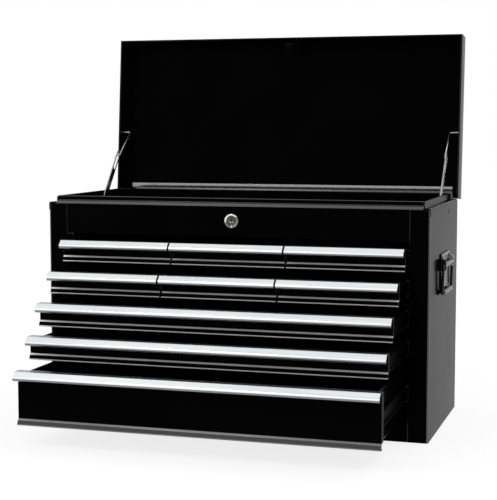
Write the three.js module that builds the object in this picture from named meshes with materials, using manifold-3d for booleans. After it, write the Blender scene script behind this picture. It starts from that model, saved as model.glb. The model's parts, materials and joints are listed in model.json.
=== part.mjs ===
// Machinist tool chest: nine drawers in a sheet steel cabinet, under a till with a hinged lid.
// Millimetres, +Z up, the drawers open towards -Y. The origin is on the underside, at mid
// width and mid depth. It stands as photographed: lid up, each row of drawers pulled further
// out than the one above it.

import * as THREE from 'three';
import * as BufferGeometryUtils from 'three/addons/utils/BufferGeometryUtils.js';
import Module from 'manifold-3d';

const wasm = await Module();
wasm.setup();

// Sheet metal
const sheet = 1.2;
const halfSheet = sheet / 2;
const bendRadius = 2.4; // to the middle of the sheet
const hemRadius = 0.9;
const bendStep = Math.PI / 4;
const tightBendStep = Math.PI / 2; // of a bend no wider than the sheet
const fitGap = 0.3; // between pieces that touch
const weldLap = 0.2; // how far welded sheets run into each other
const overrun = 2; // of a cut past the face that it leaves
const rodBendSteps = 4;

// Cabinet
const cabinetWidth = 660;
const cabinetDepth = 295;
const shoulderHeight = 378;
const rimHeight = 10.6; // of the raised rim above the shoulder
const sideShoulder = 11; // from the outside of the cabinet to the rim
const frontShoulder = 8.5;
const rearShoulder = 9;
const rimRoll = 1.6; // radius of the rim's rolled top, to the middle of the sheet
const bevelDrop = 2.6; // of the front bevel's foot below the shoulder
const bevelRise = 5.7; // of the front bevel, over the depth of the front shoulder
const sideSkinDepth = 28; // of the rim's inner skin below the shoulder
const endSkinDepth = 10;
const frontFlange = 33;
const rearFlange = 20;
const flangeGap = 2; // from the top of the front flange up to the header's bevel
const flangeCorner = 5;
const headerHeight = 55;
const headerReturn = 12;
const railLip = 8; // of the base rail, behind it
const railHeight = 31;
const panFlange = 15;

// Drawers
const columns = 3;
const smallRows = 2;
const rowCount = 5;
const rowPitch = 49;
const rowGap = 10;
const headerGap = 6;
const railGap = 2;
const mouthGap = 3; // beside a drawer front
const drawerTravel = 230;
const openShares = [0.087, 0.304, 0.5, 0.661, 0.861]; // of the travel, from the top row down
const trayRearSpace = 33; // behind a closed tray
const trayFloorRise = 3.2; // above the bottom of the front
const trayTopDrop = 4; // below the top of the front
const trayBackDrop = 2; // of the back below the side walls
const hemDepth = 5;
const frontReturn = 8;
const frontSideReturn = 12;
const lipHeight = 7.5;
const lipStep = 2.6;
const lipReach = 5.8;
const lipReturn = 5;

// Drawer pulls, an aluminium section the full width of each front
const pullWall = 1.8;
const pullDeck = 9.5; // from the front to the top edge
const pullReach = 20;
const pullNose = 13.6; // down to the end of the nose
const pullHeight = 17.4;
const pullLeg = 15.5;
const pullHook = 5; // over the top of the front
const pullRadius = 1.5;
const pullLipIn = 2.8; // of the lower lip behind the nose
const pullChamfer = 1.2; // where the deck meets the leg

// Drawer slides
const slideSpan = 9.3; // from the tray to the upright
const slideHeight = 26;
const slideClearance = 0.6; // above and below the inner rail
const slideEndClearance = 1.2; // from a rail's flange to the other rail
const slideStart = 14; // behind the front face
const slideRear = 20; // in front of the rear face
const runnerRear = 4; // from the end of the tray

// Slide racks
const uprightWidth = 30;
const uprightFoot = 20;
const uprightInset = 22; // from the front face, and from the tray's rear space
const rackTopSpace = 3;
const rackFloorSpace = 1;

// Divider shelf and partitions
const shelfLip = 4;
const shelfInset = 6;
const shelfRearFlange = 8;
const partitionFlange = 8;

// Till floor
const tillFlange = 12;

// Lid
const lidHeight = 44;
const lidSeatGap = 0.6; // above the shoulder when closed
const lidCorner = 5;
const lidHem = 8;
const lidOpenAngle = THREE.MathUtils.degToRad(95);
const stiffenerLimb = 21.3;
const stiffenerHalf = 314;

// Piano hinge
const hingeDrop = 4; // of the pin below the lid's rim
const hingePinRadius = 2;
const hingeBore = 2.3;
const hingeInset = 25; // from each end of the lid
const hingeLeaf = 24;
const hingeClearance = 0.4;
const knuckleCount = 10;
const curlTurn = Math.PI * 1.67;
const curlSteps = 6;
const pinHeadRadius = 3.2;
const pinHeadLength = 1.5;

// Lid stays, a slotted strip and a hooked rod on each side
const stayFromRear = 103; // strip pivot to the rear face
const stayDrop = 16; // strip pivot below the shoulder
const stayHoleFromRear = 119; // hole in the closed lid to the rear face
const stayHoleRise = 13; // above the lid's rim
const stayElbowAngle = 0.09; // of the strip above the line between the pivots, in radians
const stayHookReach = 117; // strip pivot to the hook in the open lid
const staySlide = 28; // of the hook along the slot
const stripWidth = 14;
const stripThickness = 1.8;
const stripTipLength = 10; // past the end of the slot
const slotWidth = 8.6;
const rodRadius = 1.6;
const rodClearance = 0.6; // between the rod and the strip
const rodBend = 4;
const rodSides = 8;
const stayHoleRadius = 2.2;
const stripSkinGap = 0.8; // between the strip and the rim's inner skin
const rivetRadius = 2.5;
const rivetHeadRadius = 4.6;
const rivetHeadLength = 1.4;
const rivetClearance = 0.3;
const accessHoleRadius = 4; // in the cabinet's side, for setting the rivet

// Lock
const lockHeight = 27; // of its axis below the shoulder
const lockBezelRadius = 12.5;
const lockBezelLength = 3.2;
const lockBezelStep = 1.4;
const lockBarrelRadius = 9.3;
const lockBarrelLength = 22;
const lockBore = 6.3;
const lockPlugRadius = 6;
const lockPlugInset = 1;
const lockStudRadius = 3;
const lockScrewRadius = 5;
const lockScrewLength = 2;
const keySlotWidth = 1.4;
const keySlotHeight = 7.6;
const keySlotDepth = 12;
const lockNutRadius = 13.5;
const lockNutLength = 5;
const camThickness = 2;
const camWidth = 12;
const camReach = 24;
const camGap = 0.6; // behind the barrel

// Lid strike, the hook that the cam holds
const strikeWidth = 14;
const strikeOffset = 11; // beside the lock's axis
const strikePlate = 20;
const strikeBridgeGap = 4; // above the rim
const strikeBack = 5; // behind the rim's inner skin
const strikeHook = 12;
const strikeHookGap = 3.4; // under the turned cam

// Carrying handles
const handleFromFront = 148;
const handleTop = 295.5;
const handlePlateHeight = 58;
const handlePlateWidth = 90;
const handlePlateSheet = 2;
const handlePlateCorner = 5;
const handlePivotDrop = 18.5;
const handleRivetInset = 7; // from the plate's top and ends
const handleRivetRadius = 3;
const handleRivetLength = 1.2;
const earRise = 11; // above the pivot
const earFall = 9;
const earTopCorner = 6.5;
const earLowCorner = 3.5;
const knuckleWall = 1.1; // of the tube between the ears
const bailRadius = 2.5;
const bailClearance = 0.4;
const bailTail = 10; // in the tube
const bailDrop = 46;
const bailLean = 1.3; // of the grip towards the panel
const bailBend = 4;
const bailSides = 8;
const gripRadius = 4.2;
const gripEndGap = 3;
const gripEndRadius = 3.4;
const gripTaper = 1.5;
const roundSides = 20;
const smallSides = 12;

// Places that follow from the sizes
const halfWidth = cabinetWidth / 2;
const panelInner = halfWidth - sheet;
const panelCorner = bendRadius + halfSheet; // outside radius of the side panels' corners
const backInner = cabinetDepth - sheet;
const sideRear = backInner - fitGap;
const floorRear = sideRear - sheet - fitGap;
const rimTop = shoulderHeight + rimHeight;
const rimWall = sheet + 2 * rimRoll;
const rimOuterX = halfWidth - sideShoulder;
const rimInnerX = rimOuterX - rimWall;
const rimRearY = cabinetDepth - rearShoulder;
const rimFrontInnerY = frontShoulder + rimWall;
const bevelFoot = shoulderHeight - bevelDrop;
const headerBottom = shoulderHeight - headerHeight;
const mouthHalf = halfWidth - frontFlange;
const frontsHalf = mouthHalf - mouthGap;
const columnPitch = (2 * frontsHalf + mouthGap) / columns;
const smallTrayHalf = columnPitch / 2 - halfSheet - slideSpan;
const rackFace = columnPitch + smallTrayHalf + slideSpan;
const wideTrayHalf = rackFace - slideSpan;
const trayDepth = cabinetDepth - trayRearSpace;
const frontHeight = rowPitch - rowGap;
const railFlange = slideSpan - fitGap - sheet - slideEndClearance;
const rowTop = (row) => headerBottom - headerGap - row * rowPitch;
const bottomFrontHeight = rowTop(rowCount - 1) - railHeight - railGap;
const rowFront = (row) => (row === rowCount - 1 ? bottomFrontHeight : frontHeight);
const rowBottom = (row) => rowTop(row) - rowFront(row);
const railCentre = (row) => rowBottom(row) + (rowFront(row) + trayFloorRise - trayTopDrop) / 2;
const shelfTop = rowTop(smallRows) + (rowGap + sheet) / 2;
const tillFloorBottom = headerBottom + sheet + fitGap;
const lidRim = shoulderHeight + lidSeatGap;
const hingeLength = cabinetWidth - 2 * hingeInset;
const curlRadius = hingeBore + halfSheet;
const hingeY = cabinetDepth + fitGap + halfSheet + curlRadius;
const hingeZ = lidRim - hingeDrop;
const lockZ = shoulderHeight - lockHeight;
const camFront = lockBarrelLength + camGap;
const camRear = camFront + camThickness;
const stripFace = rimInnerX - stripSkinGap;
const rodPlane = stripFace - stripThickness - rodClearance - rodRadius;
const stayY = cabinetDepth - stayFromRear;
const stayZ = shoulderHeight - stayDrop;
const lidHoleY = cabinetDepth - stayHoleFromRear;
const lidHoleZ = lidRim + stayHoleRise;
const openHole = new THREE.Vector2(lidHoleY, lidHoleZ)
  .rotateAround(new THREE.Vector2(hingeY, hingeZ), -lidOpenAngle);
const stayPivot = new THREE.Vector2(stayY, stayZ);
const stripAngle = openHole.clone().sub(stayPivot).angle() + stayElbowAngle;
const openHook = new THREE.Vector2(stayHookReach, 0)
  .rotateAround(new THREE.Vector2(), stripAngle)
  .add(stayPivot);
const rodLength = openHook.distanceTo(openHole);
const rodAngle = openHook.clone().sub(openHole).angle();
const knuckleRadius = bailRadius + bailClearance + knuckleWall;
const bailPlane = halfWidth + fitGap + handlePlateSheet + knuckleRadius - weldLap;
const bailPivotZ = handleTop - handlePivotDrop;
const armSpread = handlePlateWidth / 2 + bailClearance + bailBend;
const rowNames = ['top', 'second', 'third', 'fourth', 'bottom'];
const columnNames = ['left', 'centre', 'right'];
const sides = [['left', -1], ['right', 1]];

// Finishes
const finish = (color, roughness, metalness) => () => (
  new THREE.MeshStandardMaterial({ color, roughness, metalness })
);
const blackEnamel = finish(0x0a0a0b, 0.22, 0);
const trayEnamel = finish(0x101012, 0.35, 0);
const brightAluminium = finish(0xe4e8ec, 0.28, 1);
const zincSteel = finish(0xb4b6b2, 0.4, 1);
const slideSteel = finish(0x8d9092, 0.42, 1);
const lockChrome = finish(0xc9c6bc, 0.22, 1);
const blackPlastic = finish(0x0c0c0c, 0.45, 0);

// Closed geometry to a solid and back

function toSolid(geometry) {
  geometry.deleteAttribute('normal');
  geometry.deleteAttribute('uv');
  const merged = BufferGeometryUtils.mergeVertices(geometry);
  return new wasm.Manifold(new wasm.Mesh({
    numProp: 3,
    vertProperties: new Float32Array(merged.attributes.position.array),
    triVerts: new Uint32Array(merged.index.array),
  }));
}

function toGeometry(body) {
  const mesh = body.getMesh();
  const geometry = new THREE.BufferGeometry();
  geometry.setAttribute('position', new THREE.BufferAttribute(mesh.vertProperties, mesh.numProp));
  geometry.setIndex(new THREE.BufferAttribute(mesh.triVerts, 1));
  geometry.computeVertexNormals();
  return geometry;
}

const join = (...bodies) => bodies.reduce((whole, body) => whole.add(body));

// Prisms along each axis. The shape lies in YZ for prismX, XZ for prismY and XY for prismZ.

function prism(shape, length, segments) {
  return new THREE.ExtrudeGeometry(shape, {
    depth: length,
    steps: 1,
    bevelEnabled: false,
    curveSegments: segments,
  });
}

function prismX(shape, from, to, segments = 6) {
  const axes = new THREE.Matrix4().makeBasis(
    new THREE.Vector3(0, 1, 0),
    new THREE.Vector3(0, 0, 1),
    new THREE.Vector3(1, 0, 0),
  );
  return toSolid(prism(shape, to - from, segments).applyMatrix4(axes).translate(from, 0, 0));
}

function prismY(shape, from, to, segments = 6) {
  return toSolid(prism(shape, to - from, segments).rotateX(Math.PI / 2).translate(0, to, 0));
}

function prismZ(shape, from, to, segments = 6) {
  return toSolid(prism(shape, to - from, segments).translate(0, 0, from));
}

function block([x0, x1], [y0, y1], [z0, z1]) {
  const box = new THREE.BoxGeometry(x1 - x0, y1 - y0, z1 - z0);
  return toSolid(box.translate((x0 + x1) / 2, (y0 + y1) / 2, (z0 + z1) / 2));
}

function roundBar(radius, length, segments = smallSides) {
  return new THREE.CylinderGeometry(radius, radius, length, segments);
}

function crossBar(radius, from, to, y, z, segments = smallSides) {
  const bar = roundBar(radius, to - from, segments).rotateZ(-Math.PI / 2);
  return toSolid(bar.translate((from + to) / 2, y, z));
}

// Section of a folded sheet. The path runs along the middle of the sheet, and each corner
// [u, v, radius] is rounded.

function bandOutline(samples, thickness) {
  const half = thickness / 2;
  const offset = (amount) => ({ point, normal }) => point.clone().addScaledVector(normal, amount);
  const left = samples.map(offset(half));
  const right = samples.map(offset(-half)).reverse();
  return new THREE.Shape([...left, ...right]);
}

function bendSamples(before, corner, after, radius) {
  const into = corner.clone().sub(before).normalize();
  const out = after.clone().sub(corner).normalize();
  const turn = Math.atan2(into.cross(out), into.dot(out));
  const back = radius * Math.tan(Math.abs(turn) / 2);
  const start = corner.clone().addScaledVector(into, -back);
  const inward = new THREE.Vector2(-into.y, into.x).multiplyScalar(Math.sign(turn));
  const centre = start.clone().addScaledVector(inward, radius);
  const wanted = radius > sheet ? bendStep : tightBendStep;
  const steps = Math.max(1, Math.round(Math.abs(turn) / wanted));
  return Array.from({ length: steps + 1 }, (_, step) => {
    const angle = (turn * step) / steps;
    const radial = inward.clone().negate().rotateAround(new THREE.Vector2(), angle);
    const normal = radial.clone().multiplyScalar(-Math.sign(turn));
    return { point: centre.clone().addScaledVector(radial, radius), normal };
  });
}

function folded(path, { thickness = sheet, radius = bendRadius } = {}) {
  const corners = path.map(([u, v]) => new THREE.Vector2(u, v));
  const endNormal = (from, to) => {
    const along = to.clone().sub(from).normalize();
    return new THREE.Vector2(-along.y, along.x);
  };
  const last = corners.length - 1;
  const samples = [{ point: corners[0], normal: endNormal(corners[0], corners[1]) }];
  for (let i = 1; i < last; i += 1) {
    const own = path[i][2] ?? radius;
    samples.push(...bendSamples(corners[i - 1], corners[i], corners[i + 1], own));
  }
  samples.push({ point: corners[last], normal: endNormal(corners[last - 1], corners[last]) });
  return bandOutline(samples, thickness);
}

function roundedOutline(points, radii) {
  const corners = points.map(([u, v]) => new THREE.Vector2(u, v));
  const count = corners.length;
  const samples = corners.flatMap((corner, i) => {
    const before = corners[(i + count - 1) % count];
    const after = corners[(i + 1) % count];
    return radii[i] > 0 ? bendSamples(before, corner, after, radii[i]) : [{ point: corner }];
  });
  return new THREE.Shape(samples.map(({ point }) => point));
}

// Rod along a path of points with rounded bends

class SampledPath extends THREE.Curve {
  constructor(samples) {
    super();
    this.samples = samples;
  }

  sampleAt(share) {
    return this.samples[Math.round(share * (this.samples.length - 1))];
  }

  getPointAt(share) {
    return this.sampleAt(share).point.clone();
  }

  getTangentAt(share) {
    return this.sampleAt(share).tangent.clone();
  }
}

function bentRod(points, radius, bend, sideCount) {
  const last = points.length - 1;
  const towards = (from, to) => to.clone().sub(from).normalize();
  const samples = [{ point: points[0], tangent: towards(points[0], points[1]) }];
  for (let i = 1; i < last; i += 1) {
    const into = towards(points[i - 1], points[i]);
    const out = towards(points[i], points[i + 1]);
    const start = points[i].clone().addScaledVector(into, -bend);
    const end = points[i].clone().addScaledVector(out, bend);
    const corner = new THREE.QuadraticBezierCurve3(start, points[i], end);
    for (let step = 0; step <= rodBendSteps; step += 1) {
      const share = step / rodBendSteps;
      samples.push({ point: corner.getPoint(share), tangent: corner.getTangent(share) });
    }
  }
  samples.push({ point: points[last], tangent: towards(points[last - 1], points[last]) });
  const ring = Array.from({ length: sideCount }, (_, i) => {
    const angle = (2 * Math.PI * i) / sideCount;
    return new THREE.Vector2(radius * Math.cos(angle), radius * Math.sin(angle));
  });
  return new THREE.ExtrudeGeometry(new THREE.Shape(ring), {
    steps: samples.length - 1,
    extrudePath: new SampledPath(samples),
  });
}

// The tree of named pieces

const chest = new THREE.Group();
chest.position.y = -cabinetDepth / 2;

function addPiece(name, body, makeFinish, parent = chest) {
  const geometry = body.isBufferGeometry ? body : toGeometry(body);
  const mesh = new THREE.Mesh(geometry, makeFinish());
  mesh.name = name;
  parent.add(mesh);
  return mesh;
}

// Group whose contents keep the cabinet's coordinates and turn about a cross axis at (y, z)
function turnedAbout(y, z, angle) {
  const turned = new THREE.Group();
  turned.position.set(0, y, z);
  turned.rotation.x = angle;
  const shifted = new THREE.Group();
  shifted.position.set(0, -y, -z);
  turned.add(shifted);
  chest.add(turned);
  return shifted;
}

// Shoulder, raised rim and inner skin: u runs inward from the outer face
function shoulderPath(outward, shoulder) {
  return [
    [outward(halfSheet), shoulderHeight - shoulder - bendRadius],
    [outward(halfSheet), shoulderHeight - halfSheet],
    [outward(shoulder), shoulderHeight - halfSheet],
  ];
}

function rolledRim(outward, shoulder, skinDepth) {
  const rim = shoulder + halfSheet;
  const skin = rim + 2 * rimRoll;
  return [
    [outward(rim), rimTop - halfSheet, rimRoll],
    [outward(skin), rimTop - halfSheet, rimRoll],
    [outward(skin), shoulderHeight - skinDepth],
  ];
}

function rimFoot(outward, shoulder) {
  return [
    [outward(shoulder / 2), shoulderHeight - halfSheet],
    [outward(shoulder + halfSheet), shoulderHeight - halfSheet],
  ];
}

function rimPath(outward, shoulder, skinDepth) {
  return [...rimFoot(outward, shoulder), ...rolledRim(outward, shoulder, skinDepth)];
}

// Cabinet panels

function sideBar(side, radius, inner, outer, y, z) {
  const [from, to] = side > 0 ? [inner, outer] : [-outer, -inner];
  return crossBar(radius, from, to, y, z);
}

function sidePanel(side) {
  const outward = (inset) => side * (halfWidth - inset);
  const wall = folded([
    [outward(frontFlange), halfSheet],
    [outward(halfSheet), halfSheet],
    [outward(halfSheet), sideRear - halfSheet],
    [outward(rearFlange), sideRear - halfSheet],
  ]);
  const flangeTop = bevelFoot - flangeGap;
  const flange = roundedOutline([
    [outward(frontFlange), 0],
    [outward(bendRadius + halfSheet), 0],
    [outward(bendRadius + halfSheet), flangeTop],
    [outward(frontFlange), flangeTop],
  ], [0, 0, 0, flangeCorner]);
  const rivetHole = rivetRadius + rivetClearance;
  const rimFront = rimFrontInnerY + fitGap;
  const headerLap = [
    ...rimFoot(outward, sideShoulder),
    [outward(sideShoulder + halfSheet), rimTop - rimRoll - halfSheet],
  ];
  return join(
    prismZ(wall, 0, shoulderHeight - sheet - bendRadius),
    prismY(flange, 0, sheet),
    prismY(folded(shoulderPath(outward, sideShoulder)), 0, sideRear),
    prismY(folded(rimPath(outward, sideShoulder, sideSkinDepth)), rimFront, rimRearY),
    prismY(folded(headerLap), frontShoulder, rimFront + weldLap),
  ).subtract(join(
    sideBar(side, accessHoleRadius, panelInner - overrun, halfWidth + overrun, stayY, stayZ),
    sideBar(side, rivetHole, rimInnerX - overrun, rimInnerX + sheet + overrun, stayY, stayZ),
  ));
}

// The header is one folded sheet. Only its bevel and its rim run on over the side flanges.
function headerPanel() {
  const bevelAndRim = [
    [halfSheet, bevelFoot],
    [frontShoulder + halfSheet, bevelFoot + bevelRise],
    ...rolledRim((inset) => inset, frontShoulder, endSkinDepth),
  ];
  const face = folded([
    [headerReturn, headerBottom + halfSheet],
    [halfSheet, headerBottom + halfSheet],
    ...bevelAndRim,
  ]);
  const mouth = mouthHalf - fitGap;
  const rim = rimOuterX - sheet - fitGap;
  const lockHole = crossHole(lockBarrelRadius + fitGap, -overrun, sheet + overrun, 0, lockZ);
  return join(
    prismX(face, -mouth, mouth),
    prismX(folded(bevelAndRim), -rim, rim),
  ).subtract(lockHole);
}

function backPanel() {
  const inward = (inset) => cabinetDepth - inset;
  const shoulder = rimOuterX - fitGap;
  const rim = rimInnerX - fitGap;
  return join(
    block([-halfWidth, halfWidth], [backInner, cabinetDepth], [0, shoulderHeight - sheet - bendRadius]),
    prismX(folded(shoulderPath(inward, rearShoulder)), -shoulder, shoulder),
    prismX(folded(rimPath(inward, rearShoulder, endSkinDepth)), -rim, rim),
  );
}

// Sheet with its edges turned up. The side panels' corners are rounded, so its sides stop
// short of them.
function pan(low, flange, across, front) {
  const half = panelInner - fitGap - halfSheet;
  const middle = low + halfSheet;
  const high = low + flange;
  const floor = folded([[-half, high], [-half, middle], [half, middle], [half, high]]);
  return join(
    prismY(floor, panelCorner, sideRear - panelCorner),
    block(across, [front, floorRear], [low, low + sheet]),
    block(across, [floorRear - sheet, floorRear], [low, high]),
  );
}

function bottomPan() {
  const across = [fitGap - mouthHalf, mouthHalf - fitGap];
  const front = sheet + fitGap;
  return join(
    pan(0, panFlange, across, front),
    block(across, [front, front + sheet], [0, panFlange]),
  );
}

function baseRail() {
  const section = folded([
    [headerReturn, railHeight - railLip],
    [headerReturn, railHeight - halfSheet],
    [halfSheet, railHeight - halfSheet],
    [halfSheet, 0],
  ]);
  return prismX(section, fitGap - mouthHalf, mouthHalf - fitGap);
}

function tillFloor() {
  const across = [fitGap - mouthHalf, mouthHalf - fitGap];
  return pan(tillFloorBottom, tillFlange, across, panelCorner);
}

function dividerShelf() {
  const top = shelfTop - halfSheet;
  const rear = floorRear - halfSheet;
  const section = folded([
    [shelfInset, top - shelfLip],
    [shelfInset, top],
    [rear, top],
    [rear, top + shelfRearFlange],
  ], { radius: sheet });
  return prismX(section, fitGap - rackFace, rackFace - fitGap);
}

// Slides. Outward is the direction from the tray to the upright.

function outerRail(face, outward, centre) {
  const web = face - outward * (halfSheet - weldLap);
  const lip = face - outward * railFlange;
  const half = (slideHeight - sheet) / 2;
  const section = folded([
    [lip, centre + half],
    [web, centre + half],
    [web, centre - half],
    [lip, centre - half],
  ], { radius: sheet });
  return prismY(section, slideStart, cabinetDepth - slideRear);
}

function innerRail(trayFace, outward, centre, standOff) {
  const web = trayFace + outward * (standOff + halfSheet);
  const lip = trayFace + outward * (fitGap + railFlange);
  const half = slideHeight / 2 - sheet - slideClearance - halfSheet;
  const section = folded([
    [lip, centre + half],
    [web, centre + half],
    [web, centre - half],
    [lip, centre - half],
  ], { radius: sheet });
  return prismY(section, slideStart, trayDepth - runnerRear);
}

function partition(side) {
  const middle = (side * columnPitch) / 2;
  const low = shelfTop + fitGap;
  const high = tillFloorBottom - fitGap;
  const flangeTip = middle + side * partitionFlange;
  const section = folded([
    [flangeTip, high - halfSheet],
    [middle, high - halfSheet],
    [middle, low + halfSheet],
    [flangeTip, low + halfSheet],
  ], { radius: sheet });
  const plate = prismY(section, slideStart, cabinetDepth - slideRear);
  const rails = [];
  for (let row = 0; row < smallRows; row += 1) {
    for (const facing of [-1, 1]) {
      rails.push(outerRail(middle + facing * halfSheet, -facing, railCentre(row)));
    }
  }
  return join(plate, ...rails);
}

function slideRack(side) {
  const web = side * (rackFace + halfSheet);
  const foot = side * (panelInner - fitGap - halfSheet);
  const low = panFlange + rackFloorSpace;
  const high = tillFloorBottom - rackTopSpace;
  const uprights = [uprightInset, trayDepth - uprightInset].map((near) => prismZ(folded([
    [web, near],
    [web, near + uprightWidth],
    [foot, near + uprightWidth],
    [foot, near + uprightWidth - uprightFoot],
  ]), low, high));
  const rails = Array.from({ length: rowCount }, (_, row) => (
    outerRail(side * rackFace, side, railCentre(row))
  ));
  return join(...uprights, ...rails);
}

// Drawers, drawn closed about their own middle

function drawerTray(row, frontHalf, trayHalf) {
  const low = rowBottom(row);
  const high = rowTop(row);
  const capTop = high - pullWall - fitGap - halfSheet;
  const front = folded([
    [frontReturn, capTop - hemDepth],
    [frontReturn, capTop],
    [halfSheet, capTop],
    [halfSheet, low + lipHeight + lipStep],
    [halfSheet - lipStep, low + lipHeight],
    [halfSheet - lipReach, low + halfSheet],
    [lipReturn, low + halfSheet],
  ], { radius: sheet });
  const wallTop = high - trayTopDrop - halfSheet;
  const floor = low + trayFloorRise + halfSheet;
  const wall = trayHalf - halfSheet;
  const hem = wall - 2 * hemRadius;
  const tub = folded([
    [-hem, wallTop - hemDepth],
    [-hem, wallTop, hemRadius],
    [-wall, wallTop, hemRadius],
    [-wall, floor],
    [wall, floor],
    [wall, wallTop, hemRadius],
    [hem, wallTop, hemRadius],
    [hem, wallTop - hemDepth],
  ]);
  const rear = trayDepth - halfSheet;
  const backTop = wallTop - trayBackDrop;
  const back = folded([
    [rear - 2 * hemRadius, backTop - hemDepth],
    [rear - 2 * hemRadius, backTop, hemRadius],
    [rear, backTop, hemRadius],
    [rear, floor],
  ]);
  const sideReturn = (side) => {
    const across = [side * frontHalf, side * (frontHalf - sheet)].sort((a, b) => a - b);
    return block(across, [halfSheet, frontSideReturn], [low + lipHeight + lipStep, capTop]);
  };
  return join(
    prismX(front, -frontHalf, frontHalf),
    prismY(tub, halfSheet, trayDepth),
    prismX(back, -wall, wall),
    sideReturn(-1),
    sideReturn(1),
  );
}

function drawerPull(row, frontHalf) {
  const top = rowTop(row);
  const half = pullWall / 2;
  const leg = -fitGap - half;
  const nose = half - pullReach;
  const section = folded([
    [leg, top - pullLeg],
    [leg, top - half - pullChamfer],
    [leg - pullChamfer, top - half],
    [-pullDeck, top - half],
    [nose, top - half - (pullReach - half - pullDeck)],
    [nose, top - pullNose],
    [nose + pullLipIn, top - pullHeight + half],
  ], { thickness: pullWall, radius: pullRadius });
  const hook = block([-frontHalf, frontHalf], [leg - half, pullHook], [top - pullWall, top]);
  return join(prismX(section, -frontHalf, frontHalf), hook);
}

// Lid, drawn closed

function lidShell() {
  const top = lidRim + lidHeight;
  const dome = ([from, to], inset, foot) => roundedOutline([
    [from + inset, foot],
    [to - inset, foot],
    [to - inset, top - inset],
    [from + inset, top - inset],
  ], [0, 0, lidCorner - inset, lidCorner - inset]);
  const across = [-halfWidth, halfWidth];
  const along = [0, cabinetDepth];
  const solidLid = (inset, foot) => (
    prismX(dome(along, inset, foot), inset - halfWidth, halfWidth - inset)
      .intersect(prismY(dome(across, inset, foot), inset, cabinetDepth - inset))
  );
  const shrunk = ([from, to], inset) => [from + inset, to - inset];
  const hem = block(shrunk(across, halfSheet), shrunk(along, halfSheet), [lidRim, lidRim + lidHem])
    .subtract(block(
      shrunk(across, 2 * sheet),
      shrunk(along, 2 * sheet),
      [lidRim - overrun, lidRim + lidHem + overrun],
    ));
  const rodHoles = crossBar(stayHoleRadius, -halfWidth - overrun, halfWidth + overrun,
    lidHoleY, lidHoleZ);
  const dish = solidLid(0, lidRim).subtract(solidLid(sheet, lidRim - overrun));
  return join(dish, hem).subtract(rodHoles);
}

function lidRearStiffener() {
  const wall = cabinetDepth - sheet - fitGap - halfSheet;
  const ceiling = lidRim + lidHeight - sheet - fitGap - halfSheet;
  const section = folded([
    [wall, lidRim + lidHem + fitGap],
    [wall, ceiling],
    [backInner - stiffenerLimb, ceiling],
  ], { radius: lidCorner });
  return prismX(section, -stiffenerHalf, stiffenerHalf);
}

function lidStrike() {
  const plate = 2 * sheet + fitGap + halfSheet;
  const bridge = rimTop + strikeBridgeGap;
  const drop = rimFrontInnerY + strikeBack;
  const hook = lockZ - camWidth / 2 - strikeHookGap - halfSheet;
  const section = folded([
    [plate, bridge + strikePlate],
    [plate, bridge],
    [drop, bridge],
    [drop, hook],
    [drop + strikeHook, hook],
  ]);
  return prismX(section, strikeOffset, strikeOffset + strikeWidth);
}

// Piano hinge. A leaf's knuckles curl round the pin from the plane that both leaves lie in.

function hingeLeafPiece(up, first) {
  const samples = [{
    point: new THREE.Vector2(-curlRadius, up * hingeLeaf),
    normal: new THREE.Vector2(up, 0),
  }];
  for (let step = 0; step <= curlSteps; step += 1) {
    const angle = Math.PI + (up * curlTurn * step) / curlSteps;
    const radial = new THREE.Vector2(Math.cos(angle), Math.sin(angle));
    samples.push({
      point: radial.clone().multiplyScalar(curlRadius),
      normal: radial.clone().multiplyScalar(-up),
    });
  }
  const knuckle = bandOutline(samples, sheet);
  const pitch = hingeLength / knuckleCount;
  const leafStart = curlRadius + halfSheet + hingeClearance;
  const leaf = block(
    [-hingeLength / 2, hingeLength / 2],
    [-curlRadius - halfSheet, halfSheet - curlRadius],
    up > 0 ? [leafStart, hingeLeaf] : [-hingeLeaf, -leafStart],
  );
  const knuckles = [];
  for (let i = first; i < knuckleCount; i += 2) {
    const from = i * pitch - hingeLength / 2;
    knuckles.push(prismX(knuckle, from + hingeClearance / 2, from + pitch - hingeClearance / 2));
  }
  return join(leaf, ...knuckles).translate([0, hingeY, hingeZ]);
}

function hingePin() {
  const half = hingeLength / 2 + fitGap;
  return join(
    crossBar(hingePinRadius, -half - weldLap, half + weldLap, hingeY, hingeZ),
    crossBar(pinHeadRadius, -half - pinHeadLength, -half, hingeY, hingeZ),
    crossBar(pinHeadRadius, half, half + pinHeadLength, hingeY, hingeZ),
  );
}

// Lid stays, drawn along +Y from their own pivots

function stayStrip(side) {
  const half = stripWidth / 2;
  const end = stayHookReach + stripTipLength;
  const outline = new THREE.Shape();
  outline.absarc(0, 0, half, Math.PI / 2, (3 * Math.PI) / 2, false);
  outline.absarc(end - half, 0, half, -Math.PI / 2, Math.PI / 2, false);
  const pivot = new THREE.Path();
  pivot.absarc(0, 0, rivetRadius + rivetClearance, 0, 2 * Math.PI, true);
  const slot = new THREE.Path();
  slot.absarc(stayHookReach - staySlide, 0, slotWidth / 2, Math.PI / 2, (3 * Math.PI) / 2, false);
  slot.absarc(stayHookReach, 0, slotWidth / 2, -Math.PI / 2, Math.PI / 2, false);
  outline.holes.push(pivot, slot);
  const inner = side > 0 ? stripFace - stripThickness : -stripFace;
  return prismX(outline, inner, inner + stripThickness, 5);
}

function stayRod(side) {
  const x = side * rodPlane;
  const points = [
    new THREE.Vector3(side * halfWidth, 0, 0),
    new THREE.Vector3(x, 0, 0),
    new THREE.Vector3(x, rodLength, 0),
    new THREE.Vector3(side * stripFace, rodLength, 0),
  ];
  return bentRod(points, rodRadius, rodBend, rodSides);
}

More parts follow.
